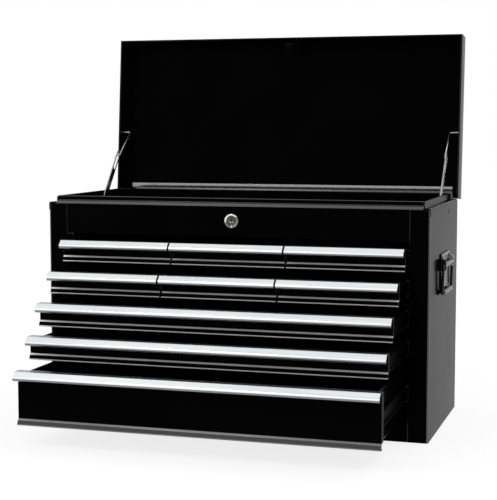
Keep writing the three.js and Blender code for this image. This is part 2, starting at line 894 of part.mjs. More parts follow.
function stayRivet(side) {
  const clear = rivetClearance / 2;
  const innerHead = stripFace - stripThickness - clear - rivetHeadLength;
  const outerHead = rimInnerX + sheet + clear;
  return join(
    sideBar(side, rivetRadius, innerHead, outerHead + rivetHeadLength, stayY, stayZ),
    sideBar(side, rivetHeadRadius, innerHead, innerHead + rivetHeadLength, stayY, stayZ),
    sideBar(side, rivetHeadRadius, outerHead, outerHead + rivetHeadLength, stayY, stayZ),
  );
}

// Lock, turned about an axis that runs front to rear

function turned(profile, segments = roundSides) {
  const points = profile.map(([radius, y]) => new THREE.Vector2(radius, y));
  return toSolid(new THREE.LatheGeometry(new THREE.Path(points).getPoints(), segments));
}

function crossHole(radius, from, to, x, z) {
  return toSolid(roundBar(radius, to - from, roundSides).translate(x, (from + to) / 2, z));
}

function lockBarrel() {
  return turned([
    [lockBore, -lockBezelLength],
    [lockBezelRadius - lockBezelStep, -lockBezelLength],
    [lockBezelRadius, -lockBezelStep],
    [lockBezelRadius, -fitGap],
    [lockBarrelRadius, -fitGap],
    [lockBarrelRadius, lockBarrelLength],
    [lockBore, lockBarrelLength],
    [lockBore, -lockBezelLength],
  ]).translate([0, 0, lockZ]);
}

function lockPlug() {
  const face = lockPlugInset - lockBezelLength;
  const camEnd = camRear + fitGap;
  const body = turned([
    [0, face],
    [lockPlugRadius - lockPlugInset, face],
    [lockPlugRadius, face + lockPlugInset],
    [lockPlugRadius, lockBarrelLength],
    [lockStudRadius, lockBarrelLength],
    [lockStudRadius, camEnd],
    [lockScrewRadius, camEnd],
    [lockScrewRadius, camEnd + lockScrewLength],
    [0, camEnd + lockScrewLength],
  ]);
  const slot = block(
    [-keySlotWidth / 2, keySlotWidth / 2],
    [face - overrun, face + keySlotDepth],
    [-keySlotHeight / 2, keySlotHeight / 2],
  );
  return body.subtract(slot).translate([0, 0, lockZ]);
}

function lockNut() {
  const ring = new THREE.Shape();
  for (let i = 0; i < 6; i += 1) {
    const angle = (i * Math.PI) / 3;
    const point = [lockNutRadius * Math.cos(angle), lockNutRadius * Math.sin(angle)];
    if (i === 0) ring.moveTo(...point);
    else ring.lineTo(...point);
  }
  const front = sheet + fitGap;
  const rear = front + lockNutLength;
  const bore = crossHole(lockBarrelRadius + fitGap, front - overrun, rear + overrun, 0, 0);
  return prismY(ring, front, rear).subtract(bore).translate([0, 0, lockZ]);
}

function lockCam() {
  const half = camWidth / 2;
  const outline = new THREE.Shape();
  outline.absarc(0, 0, half, Math.PI, 2 * Math.PI, false);
  outline.lineTo(half, camReach);
  outline.lineTo(-half, camReach);
  const hole = new THREE.Path();
  hole.absarc(0, 0, lockStudRadius + fitGap, 0, 2 * Math.PI, true);
  outline.holes.push(hole);
  return prismY(outline, camFront, camRear, 8).translate([0, 0, lockZ]);
}

// Carrying handles, drawn on the right side

function handlePlate() {
  const plateBack = halfWidth + fitGap;
  const plateFace = plateBack + handlePlateSheet;
  const low = handleTop - handlePlateHeight;
  const half = handlePlateWidth / 2;
  const front = handleFromFront - half;
  const rear = handleFromFront + half;
  const plate = roundedOutline(
    [[front, low], [rear, low], [rear, handleTop], [front, handleTop]],
    [handlePlateCorner, handlePlateCorner, handlePlateCorner, handlePlateCorner],
  );
  const foot = plateFace - weldLap;
  const reach = bailPlane + knuckleRadius;
  const ear = roundedOutline([
    [foot, bailPivotZ - earFall],
    [reach, bailPivotZ - earFall],
    [reach, bailPivotZ + earRise],
    [foot, bailPivotZ + earRise],
  ], [0, earLowCorner, earTopCorner, 0]);
  const tube = new THREE.Shape().absarc(bailPlane, bailPivotZ, knuckleRadius, 0, 2 * Math.PI, false);
  const bore = new THREE.Shape()
    .absarc(bailPlane, bailPivotZ, bailRadius + bailClearance, 0, 2 * Math.PI, false);
  const rivetZ = handleTop - handleRivetInset;
  const rivets = [front + handlePlateSheet + handleRivetInset, rear - handlePlateSheet - handleRivetInset]
    .map((y) => crossBar(handleRivetRadius, foot, plateFace + handleRivetLength, y, rivetZ));
  return join(
    prismX(plate, plateBack, plateFace),
    prismY(ear, front, front + handlePlateSheet),
    prismY(ear, rear - handlePlateSheet, rear),
    prismY(tube, front + weldLap, rear - weldLap),
    ...rivets,
  ).subtract(prismY(bore, front - overrun, rear + overrun));
}

function handleBail() {
  const tail = handlePlateWidth / 2 - bailTail;
  const point = (y, drop, lean) => (
    new THREE.Vector3(bailPlane - lean, handleFromFront + y, bailPivotZ - drop)
  );
  const points = [
    point(-tail, 0, 0),
    point(-armSpread, 0, 0),
    point(-armSpread, bailDrop, bailLean),
    point(armSpread, bailDrop, bailLean),
    point(armSpread, 0, 0),
    point(tail, 0, 0),
  ];
  return bentRod(points, bailRadius, bailBend, bailSides);
}

function handleGrip() {
  const half = armSpread - bailBend - gripEndGap;
  const bore = bailRadius + fitGap;
  return turned([
    [bore, -half],
    [gripEndRadius, -half],
    [gripRadius, gripTaper - half],
    [gripRadius, half - gripTaper],
    [gripEndRadius, half],
    [bore, half],
    [bore, -half],
  ], smallSides).translate([bailPlane - bailLean, handleFromFront, bailPivotZ - bailDrop]);
}

// Assembly

for (const [name, side] of sides) addPiece(`side_panel_${name}`, sidePanel(side), blackEnamel);
addPiece('header_panel', headerPanel(), blackEnamel);
addPiece('back_panel', backPanel(), blackEnamel);
addPiece('bottom_pan', bottomPan(), blackEnamel);
addPiece('base_rail', baseRail(), blackEnamel);
addPiece('till_floor', tillFloor(), blackEnamel);
addPiece('divider_shelf', dividerShelf(), blackEnamel);
for (const [name, side] of sides) {
  addPiece(`partition_${name}`, partition(side), blackEnamel);
  addPiece(`slide_rack_${name}`, slideRack(side), slideSteel);
}

for (let row = 0; row < rowCount; row += 1) {
  const drawerRow = new THREE.Group();
  drawerRow.position.y = -openShares[row] * drawerTravel;
  chest.add(drawerRow);
  if (row < smallRows) {
    const frontHalf = (columnPitch - mouthGap) / 2;
    columnNames.forEach((column, i) => {
      const drawer = new THREE.Group();
      drawer.position.x = (i - (columns - 1) / 2) * columnPitch;
      drawerRow.add(drawer);
      const tray = join(
        drawerTray(row, frontHalf, smallTrayHalf),
        innerRail(-smallTrayHalf, -1, railCentre(row), -weldLap),
        innerRail(smallTrayHalf, 1, railCentre(row), -weldLap),
      );
      addPiece(`drawer_${rowNames[row]}_${column}`, tray, trayEnamel, drawer);
      addPiece(`pull_${rowNames[row]}_${column}`, drawerPull(row, frontHalf), brightAluminium, drawer);
    });
  } else {
    addPiece(`drawer_${rowNames[row]}`, drawerTray(row, frontsHalf, wideTrayHalf), trayEnamel, drawerRow);
    addPiece(`pull_${rowNames[row]}`, drawerPull(row, frontsHalf), brightAluminium, drawerRow);
    for (const [name, side] of sides) {
      const runner = innerRail(side * wideTrayHalf, side, railCentre(row), fitGap);
      addPiece(`runner_${rowNames[row]}_${name}`, runner, slideSteel, drawerRow);
    }
  }
}

const lid = turnedAbout(hingeY, hingeZ, -lidOpenAngle);
addPiece('lid_shell', lidShell(), blackEnamel, lid);
addPiece('lid_rear_stiffener', lidRearStiffener(), zincSteel, lid);
addPiece('lid_strike', lidStrike(), blackEnamel, lid);
addPiece('hinge_leaf_lid', hingeLeafPiece(1, 1), zincSteel, lid);
addPiece('hinge_leaf_body', hingeLeafPiece(-1, 0), zincSteel);
addPiece('hinge_pin', hingePin(), zincSteel);

for (const [name, side] of sides) {
  const strip = addPiece(`stay_strip_${name}`, stayStrip(side), zincSteel);
  strip.position.set(0, stayY, stayZ);
  strip.rotation.x = stripAngle;
  const rod = addPiece(`stay_rod_${name}`, stayRod(side), zincSteel);
  rod.position.set(0, openHole.x, openHole.y);
  rod.rotation.x = rodAngle;
  addPiece(`stay_rivet_${name}`, stayRivet(side), zincSteel);
}

addPiece('lock_barrel', lockBarrel(), lockChrome);
addPiece('lock_nut', lockNut(), zincSteel);
addPiece('lock_plug', lockPlug(), lockChrome);
addPiece('lock_cam', lockCam(), zincSteel);

for (const [name, side] of sides) {
  const handle = new THREE.Group();
  if (side < 0) {
    handle.rotation.z = Math.PI;
    handle.position.y = 2 * handleFromFront;
  }
  chest.add(handle);
  addPiece(`handle_plate_${name}`, handlePlate(), blackEnamel, handle);
  addPiece(`handle_bail_${name}`, handleBail(), blackPlastic, handle);
  addPiece(`handle_grip_${name}`, handleGrip(), blackPlastic, handle);
}

export default chest;
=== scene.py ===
# Machinist tool chest: materials, finer pieces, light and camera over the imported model.
# Metres, +Z up, the drawers open towards -Y. Sizes of the object are in millimetres.

import json
import math

import bmesh
import bpy
from mathutils import Euler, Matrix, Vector


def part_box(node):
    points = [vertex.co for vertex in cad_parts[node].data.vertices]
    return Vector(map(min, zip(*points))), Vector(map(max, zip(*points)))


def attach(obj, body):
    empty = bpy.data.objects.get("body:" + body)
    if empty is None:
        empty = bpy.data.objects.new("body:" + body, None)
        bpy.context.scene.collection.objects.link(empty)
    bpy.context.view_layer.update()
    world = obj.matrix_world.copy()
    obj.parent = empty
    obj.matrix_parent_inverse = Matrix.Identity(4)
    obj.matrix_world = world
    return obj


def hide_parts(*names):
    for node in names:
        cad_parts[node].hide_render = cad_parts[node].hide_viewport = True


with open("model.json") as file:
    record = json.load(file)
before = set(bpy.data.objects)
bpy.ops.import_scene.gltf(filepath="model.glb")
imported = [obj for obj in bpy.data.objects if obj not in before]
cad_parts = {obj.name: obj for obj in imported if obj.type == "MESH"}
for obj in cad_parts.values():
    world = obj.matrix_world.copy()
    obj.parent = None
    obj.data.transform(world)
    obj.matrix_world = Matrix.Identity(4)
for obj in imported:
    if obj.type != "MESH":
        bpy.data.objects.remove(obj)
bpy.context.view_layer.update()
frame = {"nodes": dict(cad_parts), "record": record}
NODES = frame["nodes"]
BODIES = frame["record"]["behaviour"]["bodies"]
BODY_OF = {node: body for body, members in BODIES.items() for node in members}
SLOT_OF = {part["node"]: part["material_slot"] for part in frame["record"]["subparts"]}
MM = 0.001


def box_mm(node):
    """Lowest and highest corner of a CAD node's box, in mm."""
    low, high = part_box(node)
    return low / MM, high / MM


# Materials

NOISE_LOW = 0.3
NOISE_HIGH = 0.7
NOISE_DETAIL = 3.0
RAMP_LOW = 0.32
RAMP_HIGH = 0.7
DRIFT_SCALE = 7.0
PEEL_SCALE = 420.0
PEEL_DETAIL = 1.0
PEEL_DEPTH = 0.00001
PEEL_STRENGTH = 0.3
GRAIN_DETAIL = 4.0
GRAIN_DEPTH = 0.00001
FAINT_DEPTH = 0.000001
GRAIN_STRENGTH = 0.4
COATING_DRIFT_SCALE = 60.0
COATING_GRAIN_SCALE = 900.0
COATING_DEPTH = 0.00002
EVEN = (1, 1, 1)
LONG_GRAIN = (0.1, 1, 1)
DRAWN_GRAIN = (0.04, 1, 1)


def grey(level):
    return (level, level, level)


def new_material(name):
    material = bpy.data.materials.new(name)
    material.use_nodes = True
    tree = material.node_tree
    return material, tree, tree.nodes["Principled BSDF"]


def add(tree, kind, **inputs):
    """New node with values on its inputs. A name's underscore stands for a space."""
    node = tree.nodes.new(kind)
    for key, value in inputs.items():
        node.inputs[key.replace("_", " ")].default_value = value
    return node


def object_noise(tree, scale, stretch=EVEN, detail=NOISE_DETAIL):
    """Noise that moves with the piece."""
    place = tree.nodes.new("ShaderNodeTexCoord")
    mapping = add(tree, "ShaderNodeMapping", Scale=stretch)
    noise = add(tree, "ShaderNodeTexNoise", Scale=scale, Detail=detail)
    tree.links.new(place.outputs["Object"], mapping.inputs["Vector"])
    tree.links.new(mapping.outputs["Vector"], noise.inputs["Vector"])
    return noise.outputs["Fac"]


def spread(tree, value, low, high):
    """Spreads the middle of the noise from low to high."""
    span = add(tree, "ShaderNodeMapRange",
               From_Min=NOISE_LOW, From_Max=NOISE_HIGH, To_Min=low, To_Max=high)
    tree.links.new(value, span.inputs["Value"])
    return span.outputs["Result"]


def tint(tree, value, dark, light):
    """Turns the noise into a colour between two."""
    ramp = tree.nodes.new("ShaderNodeValToRGB")
    ends = ramp.color_ramp.elements
    for end, position, colour in zip(ends, (RAMP_LOW, RAMP_HIGH), (dark, light)):
        end.position = position
        end.color = (*colour, 1)
    tree.links.new(value, ramp.inputs["Fac"])
    return ramp.outputs["Color"]


def vary(tree, shader, value, dark, light, rough):
    """Lets the noise change the shader's colour and its roughness."""
    tree.links.new(tint(tree, value, dark, light), shader.inputs["Base Color"])
    tree.links.new(spread(tree, value, *rough), shader.inputs["Roughness"])


def bump(tree, shader, value, depth, strength):
    node = add(tree, "ShaderNodeBump", Strength=strength, Distance=depth)
    tree.links.new(value, node.inputs["Height"])
    tree.links.new(node.outputs["Normal"], shader.inputs["Normal"])


def enamel(name, dark, light, rough, ior):
    """Baked enamel: near black, with faint orange peel and a roughness that drifts."""
    material, tree, shader = new_material(name)
    shader.inputs["IOR"].default_value = ior
    vary(tree, shader, object_noise(tree, DRIFT_SCALE), dark, light, rough)
    peel = object_noise(tree, PEEL_SCALE, detail=PEEL_DETAIL)
    bump(tree, shader, peel, PEEL_DEPTH, PEEL_STRENGTH)
    return material


def metal(name, dark, light, rough, grain, stretch=EVEN, depth=GRAIN_DEPTH, metallic=1.0):
    """Metal with a grain that changes its colour, its roughness and its surface."""
    material, tree, shader = new_material(name)
    shader.inputs["Metallic"].default_value = metallic
    lines = object_noise(tree, grain, stretch, GRAIN_DETAIL)
    vary(tree, shader, lines, dark, light, rough)
    bump(tree, shader, lines, depth, GRAIN_STRENGTH)
    return material


def plastic(name, dark, light, rough, ior):
    """Dipped coating with a fine grain."""
    material, tree, shader = new_material(name)
    shader.inputs["IOR"].default_value = ior
    vary(tree, shader, object_noise(tree, COATING_DRIFT_SCALE), dark, light, rough)
    fine = object_noise(tree, COATING_GRAIN_SCALE)
    bump(tree, shader, fine, COATING_DEPTH, GRAIN_STRENGTH)
    return material


CABINET = enamel("cabinet enamel", grey(0.0010), grey(0.0018), rough=(0.12, 0.18), ior=1.045)
TRAY = enamel("drawer enamel", grey(0.0010), grey(0.0018), rough=(0.14, 0.22), ior=1.05)
BENDS = enamel("enamel on bends", grey(0.0015), grey(0.0025), rough=(0.14, 0.2), ior=1.75)
PLATES = enamel("enamel on handle plates", grey(0.0015), grey(0.003), rough=(0.2, 0.3), ior=1.3)
SLOPES = enamel("enamel on lip slopes", grey(0.004), grey(0.006), rough=(0.2, 0.28), ior=1.6)
# Painted highlight: light grey metal colour on the drawers' lips, standing in for the lines of
# light they catch.
LIP_PAINTED_HIGHLIGHT = metal("lip with painted highlight", (0.74, 0.74, 0.73), (0.84, 0.84, 0.83), rough=(0.28, 0.36),
             grain=80.0, stretch=LONG_GRAIN, metallic=0.35)
# Painted highlight: a dimmer grey on the bottom drawer's lip, for the light its lines catch.
LOW_LIP_PAINTED_HIGHLIGHT = metal("bottom lip with painted highlight", (0.2, 0.2, 0.195), (0.26, 0.26, 0.255), rough=(0.28, 0.36),
                 grain=80.0, stretch=LONG_GRAIN, metallic=0.4)
PULL = metal("brushed aluminium", (0.68, 0.73, 0.76), (0.78, 0.82, 0.84), rough=(0.16, 0.24),
             grain=110.0, stretch=DRAWN_GRAIN)
# Painted highlight: the pulls' forward nose is a brighter copy of the same aluminium.
NOSE_PAINTED_HIGHLIGHT = metal("aluminium with painted highlight", (0.90, 0.91, 0.91), (0.94, 0.94, 0.94), rough=(0.16, 0.22),
             grain=110.0, stretch=DRAWN_GRAIN)
# Painted reflection: the pulls' top is darkened for the black header it mirrors.
DECK_PAINTED_REFLECTION = metal("aluminium with painted dark reflection", (0.18, 0.19, 0.195), (0.21, 0.22, 0.225), rough=(0.2, 0.24),
             grain=110.0, stretch=DRAWN_GRAIN, depth=FAINT_DEPTH)
# Painted shade: the pulls' underside below the nose is a darker copy of the aluminium.
UNDERSIDE_PAINTED_SHADE = metal("aluminium with painted shade", (0.20, 0.205, 0.21), (0.28, 0.285, 0.29), rough=(0.2, 0.28),
              grain=110.0, stretch=DRAWN_GRAIN)
ZINC = metal("zinc plate", (0.36, 0.365, 0.36), (0.42, 0.42, 0.41), rough=(0.18, 0.26),
             grain=220.0)
STRIP = metal("dull zinc", (0.27, 0.275, 0.27), (0.32, 0.32, 0.31), rough=(0.16, 0.22),
              grain=160.0)
# Painted shade: the pulls' cut ends and the inside of their leg are made near black.
PULL_ENDS_PAINTED_SHADE = enamel("pull ends with painted shade", grey(0.004), grey(0.008), rough=(0.3, 0.4), ior=1.1)
RAIL = enamel("blackened slide steel", grey(0.002), grey(0.004), rough=(0.3, 0.42), ior=1.06)
# Lighter grey on the slides' forward faces.
RAIL_EDGES = metal("lighter slide front", grey(0.08), grey(0.12), rough=(0.3, 0.4), grain=70.0)
CHROME = metal("turned nickel", (0.17, 0.165, 0.155), (0.23, 0.225, 0.21), rough=(0.14, 0.2),
               grain=120.0)
# Painted glint: a bright copy of the nickel on the lock ring's upper side and low in the plug's
# bowl.
NICKEL_PAINTED_GLINT = metal("nickel with painted glint", (0.64, 0.63, 0.60), (0.74, 0.73, 0.70),
                      rough=(0.12, 0.18), grain=120.0)
# Painted reflection: a dark copy of the nickel for the dish round the plug and the plug's face.
NICKEL_PAINTED_DARK_REFLECTION = metal("nickel with painted dark reflection", (0.08, 0.076, 0.062), (0.13, 0.123, 0.10),
                    rough=(0.12, 0.2), grain=120.0)
# Painted highlight and painted light: light metal colour on the rear ear of each handle, on its
# rounded outer edge and on its face.
EAR_EDGE_PAINTED_HIGHLIGHT = metal("ear edge with painted highlight", grey(0.86), (0.95, 0.95, 0.94), rough=(0.2, 0.3), grain=200.0)
EAR_FACE_PAINTED_LIGHT = metal("ear face with painted light", grey(0.42), grey(0.52), rough=(0.3, 0.4), grain=200.0)
GRIP = plastic("handle coating", grey(0.004), grey(0.008), rough=(0.2, 0.32), ior=1.3)

FINISHES = {
    "cabinet_enamel": CABINET,
    "drawer_enamel": TRAY,
    "pull_aluminium": PULL,
    "slide_steel": RAIL,
    "zinc_steel": ZINC,
    "lock_chrome": CHROME,
    "handle_plastic": GRIP,
}

# Softened edges

SHARP_ANGLE = math.radians(50)
EDGE_WIDTH = 0.3
EDGE_SEGMENTS = 2
WELD_REACH = 0.001
FLAT_WEIGHT = 90


def soften(piece, width=EDGE_WIDTH, merged=False):
    """Rounds the edges and keeps the flats flat."""
    if not merged:
        weld = piece.modifiers.new("weld", "WELD")
        weld.merge_threshold = WELD_REACH * MM
    rounded = piece.modifiers.new("edges", "BEVEL")
    rounded.width = width * MM
    rounded.segments = EDGE_SEGMENTS
    rounded.limit_method = "ANGLE"
    rounded.angle_limit = SHARP_ANGLE
    finishes = list(piece.data.materials)
    if BENDS in finishes:
        rounded.material = finishes.index(BENDS)
    piece.data.polygons.foreach_set("use_smooth", [True] * len(piece.data.polygons))
    flat = piece.modifiers.new("flats", "WEIGHTED_NORMAL")
    flat.mode = "FACE_AREA"
    flat.weight = FLAT_WEIGHT


# Faces with a second finish

LIP_FOOT = 2.6
NOSE_FOOT = 5.5
BEND_LIMIT = 0.96
BEVEL_LIMIT = 0.86
DECK_LIMIT = 0.95
END_LIMIT = 0.9
SLOPE_LOW = 0.3
SLOPE_HIGH = 0.5
FORWARD = -0.8
PARTLY_FORWARD = -0.2
LID_INSIDE = -0.1


def squareness(normal):
    """1 for a face square to an axis, and less the further it turns from all three."""
    return max(abs(part) for part in normal)


def on_bend(normal, height):
    """Faces between two axes. The sloping face of a drawer's lip counts as a flat."""
    return squareness(normal) < BEND_LIMIT and not SLOPE_LOW < normal.z < SLOPE_HIGH


def on_outer_bend(normal, height):
    """Bends of the open lid, without those round its inside, which looks forward."""
    return on_bend(normal, height) and normal.y > LID_INSIDE


def on_bevel(normal, height):
    return squareness(normal) < BEVEL_LIMIT


def on_lip(normal, height):
    """The step above a drawer's lip, and the bend under it, which get a painted highlight."""
    step = normal.z > SLOPE_HIGH
    under = normal.z < SLOPE_LOW and height < LIP_FOOT
    return normal.y < PARTLY_FORWARD and (step or under)


def on_slope(normal, height):
    return normal.y < FORWARD and SLOPE_LOW < normal.z < SLOPE_HIGH


# Forward faces. On the pulls these get the painted highlight of the nose.
def on_nose(normal, height):
    return normal.y < FORWARD


# The pulls' top, which gets a painted dark reflection.
def on_deck(normal, height):
    return normal.z > DECK_LIMIT


# The pulls' underside below the nose, which gets a painted shade.
def under_nose(normal, height):
    return normal.y < PARTLY_FORWARD and height < NOSE_FOOT


# The pulls' cut ends, which get a painted shade.
def on_end(normal, height):
    return abs(normal.x) > END_LIMIT


SECOND_FINISHES = {
    "cabinet_enamel": [(BENDS, on_bend)],
    "drawer_enamel": [(BENDS, on_bend), (LIP_PAINTED_HIGHLIGHT, on_lip)],
    "pull_aluminium": [(NOSE_PAINTED_HIGHLIGHT, on_nose), (DECK_PAINTED_REFLECTION, on_deck), (UNDERSIDE_PAINTED_SHADE, under_nose), (PULL_ENDS_PAINTED_SHADE, on_end)],
    "slide_steel": [(RAIL_EDGES, on_nose)],
}
OWN_FINISH = {
    "handle_plate_left": PLATES,
    "handle_plate_right": PLATES,
    "lid_rear_stiffener": STRIP,
    # The plug's face gets the painted dark reflection.
    "lock_plug": NICKEL_PAINTED_DARK_REFLECTION,
}
OWN_SECOND_FINISHES = {
    "header_panel": [(BENDS, on_bevel)],
    "lid_shell": [(BENDS, on_outer_bend)],
    "lid_strike": [],
    "handle_plate_left": [],
    "handle_plate_right": [],
    "drawer_bottom": [(BENDS, on_bend), (LOW_LIP_PAINTED_HIGHLIGHT, on_lip), (SLOPES, on_slope)],
}


def finish(mesh, node):
    """Gives the mesh its slot's finish, and its bends, lips or noses their own.

    These are chosen by a face's normal and its height in mm above the piece's lowest point.
    """
    slot = SLOT_OF[node]
    mesh.materials.clear()
    mesh.materials.append(OWN_FINISH.get(node, FINISHES[slot]))
    others = OWN_SECOND_FINISHES.get(node, SECOND_FINISHES.get(slot, []))
    lowest = min(vertex.co.z for vertex in mesh.vertices)
    for index, (other, chosen) in enumerate(others, 1):
        mesh.materials.append(other)
        for face in mesh.polygons:
            if chosen(face.normal, (face.center.z - lowest) / MM):
                face.material_index = index


for name, node in NODES.items():
    finish(node.data, name)
    soften(node)


# Mesh helpers

BEND_STEP = math.radians(15)
FEWEST_BEND_STEPS = 2
ROUND_SIDES = 48
SWEEP_SIDES = 20
SWEEP_STEPS = 10
SEAM_REACH = 0.0005

# Order of a section's two values and the place along its axis, as x, y and z
PLACES = {
    "X": lambda u, v, w: (w, u, v),
    "Y": lambda u, v, w: (u, w, v),
}
# Two directions across a turned shape and one along it, by its axis
LATHE_AXES = {
    "X": (Vector((0, 1, 0)), Vector((0, 0, 1)), Vector((1, 0, 0))),
    "Y": (Vector((1, 0, 0)), Vector((0, 0, 1)), Vector((0, 1, 0))),
}


def turned_by(vector, angle):
    """The vector of a plane turned anticlockwise."""
    return Vector((
        vector.x * math.cos(angle) - vector.y * math.sin(angle),
        vector.x * math.sin(angle) + vector.y * math.cos(angle),
    ))


def bend(before, corner, after, radius):
    """Points round a bend in a plane, with the sheet's normal at each."""
    into = (corner - before).normalized()
    out = (after - corner).normalized()
    turn = math.atan2(into.x * out.y - into.y * out.x, into.dot(out))
    side = math.copysign(1, turn)
    start = corner - into * radius * math.tan(abs(turn) / 2)
    inward = Vector((-into.y, into.x)) * side
    centre = start + inward * radius
    steps = max(FEWEST_BEND_STEPS, math.ceil(abs(turn) / BEND_STEP))
    samples = []
    for step in range(steps + 1):
        radial = turned_by(-inward, turn * step / steps)
        samples.append((centre + radial * radius, radial * -side))
    return samples


def folded(path, radius):
    """Middle line of a folded sheet: points with the sheet's normal at each.

    A point of the path may have its own radius as its third value.
    """
    corners = [Vector(point[:2]) for point in path]
    samples = []
    for i, corner in enumerate(corners):
        if 0 < i < len(corners) - 1:
            own = path[i][2] if len(path[i]) > 2 else radius
            samples += bend(corners[i - 1], corner, corners[i + 1], own)
        else:
            ends = (corners[0], corners[1]) if i == 0 else (corners[-2], corners[-1])
            along = (ends[1] - ends[0]).normalized()
            samples.append((corner, Vector((-along.y, along.x))))
    return samples


def sheet_prism(bm, samples, thickness, axis, start, end):
    """Sheet of one thickness along its middle line, drawn out along an axis."""
    rows = []
    for side in (0.5, -0.5):
        for along in (start, end):
            rows.append([
                bm.verts.new(Vector(PLACES[axis](*(point + normal * thickness * side), along)) * MM)
                for point, normal in samples
            ])
    left_start, left_end, right_start, right_end = rows
    for i in range(len(samples) - 1):
        for one, two in ((left_start, left_end), (right_end, right_start),
                         (right_start, left_start), (left_end, right_end)):
            bm.faces.new((one[i], one[i + 1], two[i + 1], two[i]))
    for i in (0, -1):
        bm.faces.new((left_start[i], left_end[i], right_end[i], right_start[i]))


def outline_prism(bm, outline, axis, start, end):
    """Solid with one closed outline, drawn out along an axis."""
    low = [bm.verts.new(Vector(PLACES[axis](*point, start)) * MM) for point in outline]
    high = [bm.verts.new(Vector(PLACES[axis](*point, end)) * MM) for point in outline]
    count = len(outline)
    for i in range(count):
        j = (i + 1) % count
        bm.faces.new((low[i], low[j], high[j], high[i]))
    bm.faces.new(low)
    bm.faces.new(list(reversed(high)))


def rounded_outline(points, radii):
    """Closed outline with a radius of its own at each corner, or none."""
    corners = [Vector(point) for point in points]
    outline = []
    for i, corner in enumerate(corners):
        if radii[i] > 0:
            after = corners[(i + 1) % len(corners)]
            outline += [point for point, _ in bend(corners[i - 1], corner, after, radii[i])]
        else:
            outline.append(corner)
    return outline


def lathe(bm, profile, centre, axis="Y", sides=ROUND_SIDES):
    """Turns a closed profile of (radius, along) round an axis through the centre."""
    aside, up, onward = LATHE_AXES[axis]
    rings = []
    for radius, along in profile:
        ring = []
        for i in range(sides):
            angle = 2 * math.pi * i / sides
            out = aside * math.cos(angle) + up * math.sin(angle)
            ring.append(bm.verts.new((Vector(centre) + out * radius + onward * along) * MM))
        rings.append(ring)
    for i, ring in enumerate(rings):
        after = rings[(i + 1) % len(rings)]
        if profile[i][0] == 0 and profile[(i + 1) % len(rings)][0] == 0:
            continue
        for j in range(sides):
            k = (j + 1) % sides
            bm.faces.new((ring[j], ring[k], after[k], after[j]))


def path_samples(points, corner_reach):
    """Places along a path with rounded corners, with the heading at each."""
    points = [Vector(point) for point in points]
    samples = [(points[0], (points[1] - points[0]).normalized())]
    for i in range(1, len(points) - 1):
        into = (points[i] - points[i - 1]).normalized()
        out = (points[i + 1] - points[i]).normalized()
        start = points[i] - into * corner_reach
        end = points[i] + out * corner_reach
        for step in range(SWEEP_STEPS + 1):
            share = step / SWEEP_STEPS
            place = start.lerp(points[i], share).lerp(points[i].lerp(end, share), share)
            samples.append((place, into.lerp(out, share).normalized()))
    samples.append((points[-1], (points[-1] - points[-2]).normalized()))
    return samples


def sweep(bm, points, radius, corner_reach):
    """Round rod along a path."""
    samples = path_samples(points, corner_reach)
    tangent = samples[0][1]
    across = tangent.orthogonal().normalized()
    rings = []
    for place, heading in samples:
        across = tangent.rotation_difference(heading) @ across
        tangent = heading
        other = heading.cross(across)
        ring = []
        for i in range(SWEEP_SIDES):
            angle = 2 * math.pi * i / SWEEP_SIDES
            out = across * math.cos(angle) + other * math.sin(angle)
            ring.append(bm.verts.new((place + out * radius) * MM))
        rings.append(ring)
    for ring, after in zip(rings, rings[1:]):
        for i in range(SWEEP_SIDES):
            j = (i + 1) % SWEEP_SIDES
            bm.faces.new((ring[i], ring[j], after[j], after[i]))
    bm.faces.new(rings[0])
    bm.faces.new(list(reversed(rings[-1])))


def new_piece(bm, name):
    """Closes the shape's seams, turns its faces outward and puts it in the scene."""
    bmesh.ops.remove_doubles(bm, verts=bm.verts, dist=SEAM_REACH * MM)
    bmesh.ops.recalc_face_normals(bm, faces=bm.faces)
    mesh = bpy.data.meshes.new(name)
    bm.to_mesh(mesh)
    bm.free()
    piece = bpy.data.objects.new(name, mesh)
    bpy.context.scene.collection.objects.link(piece)
    return piece


def dress(node, bm, edge=EDGE_WIDTH):
    """Makes the finer piece that stands for a CAD node, on the same body and with its finish."""
    piece = new_piece(bm, "fine_" + node)
    finish(piece.data, node)
    soften(piece, edge, merged=True)
    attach(piece, BODY_OF[node])
    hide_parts(node)
    return piece


def mark_faces(piece, material, chosen, centre=(0, 0, 0)):
    """Gives a finish to faces chosen by their normal and their place from a centre in mm."""
    piece.data.materials.append(material)
    for face in piece.data.polygons:
        if chosen(face.normal, face.center / MM - Vector(centre)):
            face.material_index = len(piece.data.materials) - 1


def from_axis(place):
    return math.hypot(place.x, place.z)


# Sheet sizes that several pieces share

SHEET = 1.2
HALF = SHEET / 2
BEND = 2.4
FIT = 0.3
LAP = 0.2


# Drawers and pulls

HEM = 0.9
TRAY_EDGE = 0.2
TRAY_DEPTH = 262.0
TRAY_SIDE_GAP = 8.4
FRONT_TOP_DROP = 2.1
SMALL_WIDTH = 300.0
SMALL_FRONT_DROP = 1.8
TRAY_FLOOR_RISE = 3.2
TRAY_TOP_DROP = 4.0
TRAY_BACK_DROP = 2.0
HEM_DEPTH = 5.0
FRONT_RETURN = 8.0
FRONT_SIDE_RETURN = 12.0
FRONT_BEND = 1.2
LIP_HEIGHT = 7.5
LIP_STEP = 2.6
LIP_REACH = 5.8
LIP_RETURN = 5.0
RAIL_HEIGHT = 26.0
RAIL_FLANGE = 6.6
RAIL_CLEARANCE = 0.6
RAIL_START = 14.0
RAIL_END = 4.0
PULL_EDGE = 0.25
PULL_WALL = 1.8
PULL_DECK = 11.9
PULL_REACH = 20.0
PULL_NOSE = 9.7
PULL_SKIRT = 12.2
PULL_SKIRT_LEAN = 0.2
PULL_HEIGHT = 14.6
PULL_LEG = 15.5
PULL_HOOK = 5.0
PULL_RADIUS = 1.5
PULL_LIP_IN = 2.8
PULL_CHAMFER = 1.2

DRAWERS = [name for name in NODES if name.startswith("drawer_")]


